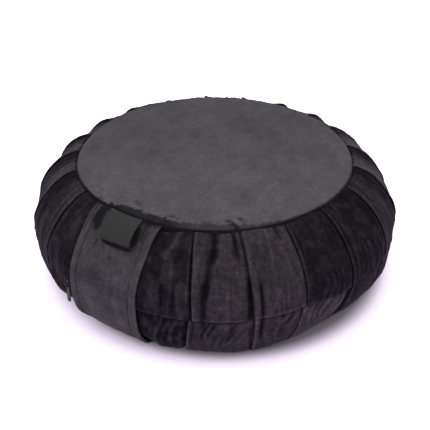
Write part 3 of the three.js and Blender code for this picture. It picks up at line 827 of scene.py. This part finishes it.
def rim_shade(azimuth, r, near):
    """What the rim's band of brushed pile and painted shade, and the marks near it, take off the top's tone.
    near is how far the rim is.
    """
    brushed, dark = round_table(azimuth, RIM_AT, RIM_DARKENED_REACH), round_table(azimuth, RIM_AT, RIM_DARK)
    torn = 1.6 * waves(azimuth, near, 34, 14, 16, 33) + 1.6 * waves(azimuth, near, 13, 5, 30, 35)
    ragged = near + torn * smooth((brushed - 3) / 5)
    # the band mixes brushed pile with painted shade, and painted shade darkens the very edge in the seam
    shade = dark * smooth((brushed - ragged) / (1.2 + 0.2 * brushed)) + 1.3 * dark * bump(near, 1.6)
    for mark in TOP_MARKS:
        along = np.radians(wrapped(azimuth - mark.at)) * r
        shade = shade + mark.tone * bump(along, mark.long) * bump(near - mark.inward, mark.wide)
    return shade


def top_circle():
    """The crowned top circle, whose edge rolls down into the seam."""
    columns = 480
    azimuth = np.arange(columns) * 360 / columns
    near = np.append(24 * np.linspace(1, 0.02, 24) ** 1.6, 0)
    r = np.append(np.linspace(6, TOP_RADIUS - 27, 36), TOP_RADIUS - near)[:, None]
    near = TOP_RADIUS - r
    x, y = r * np.sin(np.radians(azimuth)), -r * np.cos(np.radians(azimuth))
    drop, puff = round_table(azimuth, RIM_AT, RIM_DROP), round_table(azimuth, RIM_AT, RIM_PUFF)
    turned = np.clip(1 - near / (2 + 2 * drop), 0, 1)
    z = crown_height(r) - drop * (1 - np.sqrt(1 - turned**2)) - 1.0 * bump(near, 0.8)
    z = z + puff * smooth(near / 5.5) * smooth((22 - near) / 15)
    draw = np.random.default_rng(21)
    back = y * math.cos(TOP_PAINTED_LIGHT_SIDE) - x * math.sin(TOP_PAINTED_LIGHT_SIDE)
    # painted light: the top grows darker away from its lighter side
    tone = 0.86 - 0.20 * smooth((back + 110) / 220)
    for length, high in ((140, 0.5), (60, 0.3), (22, 0.12)):
        for _ in range(10):
            heading, phase = draw.uniform(0, 2 * math.pi, 2)
            wave = np.cos(2 * math.pi * (x * math.cos(heading) + y * math.sin(heading)) / length + phase)
            z = z + high * wave / 4 * smooth(near / 12)
            tone = tone + 0.01 * wave
    pucker = waves(azimuth, 0 * r, 16, 7, 20, 31)
    z = z + 0.25 * pucker * bump(near - 4, 4)
    upper = np.stack([x, y, z], -1)
    picked = np.r_[0 : len(r) : 6, len(r) - 1]
    lower = upper[picked].copy()
    lower[..., 2] -= CLOTH
    rows = np.concatenate([upper, lower[::-1]])
    tones = np.full(rows.shape[:2], PLAIN_NAP)
    tones[: len(r)] = tone - rim_shade(azimuth, r, near)
    middle = z[0].mean()
    piece = lathe_piece("top_circle_cloth", rows, TOP_VELVET, tones, (middle, middle - CLOTH))
    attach(piece, "root")
    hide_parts("top_circle")


def bottom_circle():
    """The flat bottom circle, a little creased where it lies on the floor."""
    columns = 240
    azimuth = np.radians(np.arange(columns) * 360 / columns)
    r = np.append(np.linspace(8, BOTTOM_RADIUS - 4, 30), BOTTOM_RADIUS - np.array([2, 0.8, 0.2]))[:, None]
    rise = 0.45 * (1 + waves(np.degrees(azimuth), 0.8 * r, 70, 25, 16, 51)) * smooth((BOTTOM_RADIUS - r) / 40)
    z = np.maximum(rise, 0) + 1.2 * bump(BOTTOM_RADIUS - r, 1.2)
    lower = around(azimuth, r, z)
    upper = lower[::4].copy()
    upper[..., 2] += CLOTH
    rows = np.concatenate([upper, lower[::-1]])
    middle, tones = z[0].mean(), np.full(rows.shape[:2], PLAIN_NAP)
    piece = lathe_piece("bottom_circle_cloth", rows, BASE_VELVET, tones, (middle + CLOTH, middle))
    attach(piece, "root")
    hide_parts("bottom_circle")


def strap_half_width(down):
    """Half the strap's width, which narrows towards its lower end."""
    full = smooth((WALL_LENGTH - down) / STRAP_TAPER)
    return (STRAP_END_WIDTH + (STRAP_WIDTH - STRAP_END_WIDTH) * full) / 2


def strap_side(share, down):
    """Where a share of the strap's half width lies, in mm beside azimuth 0. Its top end is sewn in askew."""
    return share * strap_half_width(down) - STRAP_ASKEW * smooth(1 - down / STRAP_TAPER)


def over_strap(side, down, out):
    """A point over the strap's path: mm to the side of its middle, down the wall and out of its crests."""
    azimuth = np.degrees(side / (wall_radius(down) + out))
    return on_wall(azimuth, down, out - seam_press(0, down))


# Soft folds in the strap, as in the wall, but at and to_at are in mm beside its middle. Some rows are painted
# shade and the label's painted shadow.
STRAP_FOLDS = table(
    Fold,
    # a fold with painted shade, left of the label
    (-28, -4, -25, 30, 1.4, 4.6, 0.74),
    (-34.5, -4, -33, 25, 0.3, 4, 0.34),
    (-36, -4, -35, 34, -0.5, 1.2, -0.26),
    (-39.5, -4, -38.5, 34, 0.5, 1.1, 0.24),
    (-15, 33.8, 24, 34.2, 1.2, 1.8, 0.7),  # the label's painted shadow, along its lower and right edges
    (15.5, -4, 24.5, 34, 1, 3.6, 0.56),
    (-17, 34, -21, 43, 0.3, 1.2, 0.36),
    (-9, 37, -3, 46, 0.3, 1.2, 0.24),
    (1, 44, 7, 49, 0.3, 1.3, 0.26),
    # a fold with painted shade, right of the label
    (27, -4, 30, 24, 0.8, 5.6, 0.34),
    (25, 2, 29, 20, -0.5, 0.9, -0.26),
    (30, 2, 33, 22, -0.5, 0.9, -0.24),
    (23, 6, 20, 40, 0.5, 3, 0.14),
    (-20, 84, -8, 140, -0.8, 5, -0.2),
    (16, 82, 30, 134, -0.7, 3.4, -0.18),
    (-6, 40, 8, 62, -0.5, 7, -0.08),
    (-30, 74, 30, 80, 0.5, 10, 0.12),
    (-14, 36, -4, 44, 0.3, 2, 0.1),
    (4, 46, 9, 52, 0.3, 1.6, 0.12),
    (-27, 34, -22, 60, 0.3, 2.4, 0.08),
    (26, 110, 33, 150, 0.6, 2, 0.12),
    (-33, 112, -22, 150, 0.5, 2.4, 0.1),
)


def strap_folds(side, down):
    """What the strap's folds take off its height and its tone, painted shade and the label's painted shadow
    among it.
    """
    depth, tone = 0.0, 0.0
    for fold in STRAP_FOLDS:
        step_side, step_down = fold.to_at - fold.at, fold.to_down - fold.down
        long = math.hypot(step_side, step_down)
        along = ((side - fold.at) * step_side + (down - fold.down) * step_down) / long**2
        across = ((side - fold.at) * step_down - (down - fold.down) * step_side) / long
        share = bump(across, fold.wide) * smooth(along / 0.3 + 0.3) * smooth((1.1 - along) / 0.4)
        depth = depth + fold.deep * share
        tone = tone + fold.tone * share
    return depth, tone


def strap_face(share, down):
    """How far out the strap's face lies at a share of its half width, and its tone, with painted shade and
    highlights.
    """
    half = strap_half_width(down)
    inset = (1 - np.abs(share)) * half
    hem = smooth((HEM - inset) / 0.8) * smooth(inset / 0.9)
    groove = bump(inset - HEM - 0.3, 1.0)
    edge = bump(inset - 1.2, 0.9)
    nearest = np.minimum(down, WALL_LENGTH - down)
    free = smooth(nearest / 25)
    across = np.degrees(share * half / WIDEST_RADIUS)
    uneven = waves(across, down, 120, 40, 12, 71) * 0.35 + waves(across, down, 26, 12, 16, 73) * 0.10
    puckers = waves(across, down, 9, 5, 20, 77) * bump(inset - HEM, 3.0) * 0.14
    lift = 0.9 * smooth((np.abs(share) - 0.72) / 0.28) * free
    deep, shade = strap_folds(share * half, down)
    out = STRAP_SEAT + CLOTH - 0.9 * (1 - smooth(inset / 0.9))
    out = out + (0.7 * hem - 0.5 * groove + lift + uneven + puckers - deep) * free
    # lighter further down; painted shade in the stitch grooves and where it dives into the top seam, a
    # painted highlight on its edges
    tone = 0.46 + 0.05 * smooth((down - 34) / 12) + 0.12 * smooth((down - 60) / 70) + 0.06 * hem
    tone = tone - 0.32 * groove * (0.8 + 0.5 * waves(across, down, 20, 8, 12, 79)) + 0.16 * edge
    tone = tone - shade + 0.05 * waves(across, down, 60, 20, 16, 75) - 0.5 * smooth((6 - down) / 6)
    return out, tone


def strap():
    """The carrying strap: hemmed along both edges and topstitched."""
    half = np.concatenate([np.linspace(0, 0.74, 18), np.linspace(0.76, 0.86, 10), np.linspace(0.88, 1, 10)])
    share = np.concatenate([-half[:0:-1], half])[None, :]
    down = np.concatenate([[0.2, 0.8, 1.8], np.linspace(3.4, WALL_LENGTH - 3.4, 150),
                           WALL_LENGTH - np.array([1.8, 0.8, 0.2])])[:, None]
    out, tone = strap_face(share, down)
    side = strap_side(share, down)
    outer = over_strap(side, down, out)
    inner = over_strap(side, down, out - CLOTH * np.clip(smooth((1 - np.abs(share)) * 40 + 0.15), 0.15, 1))
    outer[..., 2] = np.maximum(outer[..., 2], 0.2)
    inner[..., 2] = np.maximum(inner[..., 2], 0.6)
    nap = np.concatenate([tone, np.full_like(tone, UNSEEN_NAP)], 1)
    cloth = on_cloth(np.degrees(side / WIDEST_RADIUS), down)
    cloth = np.concatenate([cloth, cloth[:, ::-1]], 1)
    piece = ribbon_piece("carrying_strap", outer, inner, STRAP_VELVET, nap, cloth)
    stitches = strap_stitching()
    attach(piece, "root")
    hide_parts("strap")


def strap_stitching():
    """Two rows of topstitching, each stitch a short thread that dips into the cloth at both ends."""
    step, long, radius, sides = 3.4, 2.7, 0.28, 6
    points, faces = [], []
    along = np.linspace(-0.5, 0.5, 7)
    for edge in (-1, 1):
        for middle in np.arange(4, WALL_LENGTH - 4, step):
            down = middle + along * long
            half = strap_half_width(down)
            share = edge * (1 - HEM / half)
            out, _ = strap_face(share, down)
            rise = 0.30 - 0.75 * (2 * along) ** 6
            first = len(points)
            for i, d in enumerate(down):
                for k in range(sides):
                    turn = 2 * math.pi * k / sides
                    side = strap_side(share[i], d) + radius * math.cos(turn)
                    points.append(over_strap(side, d, out[i] + rise[i] + radius * math.sin(turn)))
            faces += grid_faces(len(down), sides, first=first)
            end = first + (len(down) - 1) * sides
            faces.append(tuple(first + k for k in range(sides)))
            faces.append(tuple(end + k for k in reversed(range(sides))))
    piece = make_piece("strap_stitching", points, faces, THREAD)
    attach(piece, "root")
    return piece


def label():
    """The bare woven label: a folded ribbon that hangs from the top seam and stands off the strap."""
    share = np.linspace(-1, 1, 41)[None, :]
    down = np.linspace(0.3, LABEL_DROP, 44)[:, None]
    drop = down / LABEL_DROP
    lift = (LABEL_LIFT + LABEL_TILT * share) * smooth(drop) + 0.5 * share**2 * smooth(drop * 2)
    out = STRAP_SEAT + CLOTH + LABEL_GAP + lift
    side = LABEL_SIDE + share * LABEL_WIDTH / 2 + LABEL_SLANT * down
    edge = np.minimum((1 - np.abs(share)) * LABEL_WIDTH / 2, LABEL_DROP - down)
    half = LABEL_THICK / 2
    rounded = np.maximum(half * np.sqrt(1 - np.clip(1 - edge / half, 0, 1) ** 2), 0.12)
    outer = over_strap(side, down, out + half + rounded)
    inner = over_strap(side, down, out + half - rounded)
    piece = ribbon_piece("blank_label", outer, inner, LABEL_SATIN)
    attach(piece, "root")
    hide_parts("side_label")


def metal_parts():
    """The zip's slider and pull keep their solids and get a worn black lacquer."""
    for node in ("zip_slider", "zip_pull"):
        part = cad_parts[node]
        part.data.materials.clear()
        part.data.materials.append(ZIP_METAL)


# ---- stage ----


# A painted contact shadow: the white paper is darker close round the cushion, most at its right, a share of
# its colour by distance, in mm, from a point beside the middle.
FLOOR_COLOUR = (0.88, 0.78, 0.94)
FLOOR_PAINTED_SHADOW = ((158, 0.22), (166, 0.46), (172, 0.70), (178, 0.90), (190, 1.0))
FLOOR_SHADOW_MIDDLE = (0.0213, -0.0057, 0)  # in metres
FLOOR_SHADOW_REACH = 400
FLOOR_SIZE = 12  # from the middle to its edges, in metres
ROOM_LIGHT = 2.05

CAMERA_AZIMUTH = 34.4
CAMERA_ELEVATION = 32.15
CAMERA_DISTANCE = 1.25  # in metres
CAMERA_TARGET = (0.4, 54.2)  # mm to the right of the middle, and up
FOCAL_PIXELS, IMAGE_PIXELS = 1101, 430
SENSOR_WIDTH = 36


def studio():
    """The paper floor, with a painted contact shadow round the cushion, and the white room round it."""
    floor_mesh = bpy.data.meshes.new("floor")
    corners = [(x * FLOOR_SIZE, y * FLOOR_SIZE, 0) for x, y in ((-1, -1), (1, -1), (1, 1), (-1, 1))]
    floor_mesh.from_pydata(corners, [], [(0, 1, 2, 3)])
    paper = Nodes("floor_paper_painted_shadow")
    away = paper.add("ShaderNodeVectorMath", operation="DISTANCE")
    paper.join(paper.place(), away.inputs[0])
    away.inputs[1].default_value = FLOOR_SHADOW_MIDDLE
    # the painted contact shadow in the paper's colour
    stops = [(r / FLOOR_SHADOW_REACH, [share * value for value in FLOOR_COLOUR]) for r, share in FLOOR_PAINTED_SHADOW]
    paper.colour(paper.math("DIVIDE", away.outputs["Value"], FLOOR_SHADOW_REACH * MM), stops)
    paper.surface({"Roughness": 0.9, "Specular IOR Level": 0.1})
    floor_mesh.materials.append(paper.material)
    floor = add_object("floor", floor_mesh)

    world = bpy.data.worlds.new("white_room")
    bpy.context.scene.world = world
    world.use_nodes = True
    background = world.node_tree.nodes["Background"].inputs
    background["Color"].default_value = (1, 1, 1, 1)
    background["Strength"].default_value = ROOM_LIGHT


def aimed(name, data, target, azimuth, elevation, distance):
    """A light or camera that looks at a target from an azimuth and an elevation."""
    a, e = math.radians(azimuth), math.radians(elevation)
    back = Vector((math.sin(a) * math.cos(e), -math.cos(a) * math.cos(e), math.sin(e)))
    holder = add_object(name, data)
    holder.location = target + back * distance
    holder.rotation_mode = "QUATERNION"
    holder.rotation_quaternion = back.to_track_quat("Z", "Y")
    return holder


def area_light(name, azimuth, elevation, distance, size, power):
    """A soft square light, aimed at the middle of the floor."""
    light = bpy.data.lights.new(name, "AREA")
    light.size = size
    light.energy = power
    aimed(name, light, Vector(), azimuth, elevation, distance)


def camera():
    """The photograph's view."""
    data = bpy.data.cameras.new("camera")
    data.sensor_width = SENSOR_WIDTH
    data.lens = SENSOR_WIDTH * FOCAL_PIXELS / IMAGE_PIXELS
    a = math.radians(CAMERA_AZIMUTH)
    side, up = CAMERA_TARGET
    target = Vector((math.cos(a), math.sin(a), 0)) * side * MM + Vector((0, 0, up * MM))
    holder = aimed("camera", data, target, CAMERA_AZIMUTH, CAMERA_ELEVATION, CAMERA_DISTANCE)
    bpy.context.scene.camera = holder


camera()
studio()
area_light("overhead", CAMERA_AZIMUTH - 140, elevation=70, distance=2.0, size=1.6, power=12)
area_light("front", CAMERA_AZIMUTH - 8, elevation=48, distance=2.6, size=1.6, power=7)
bpy.context.scene.view_settings.view_transform = "Standard"

filled_wall()
lower_band()
top_circle()
bottom_circle()
strap()
label()
metal_parts()
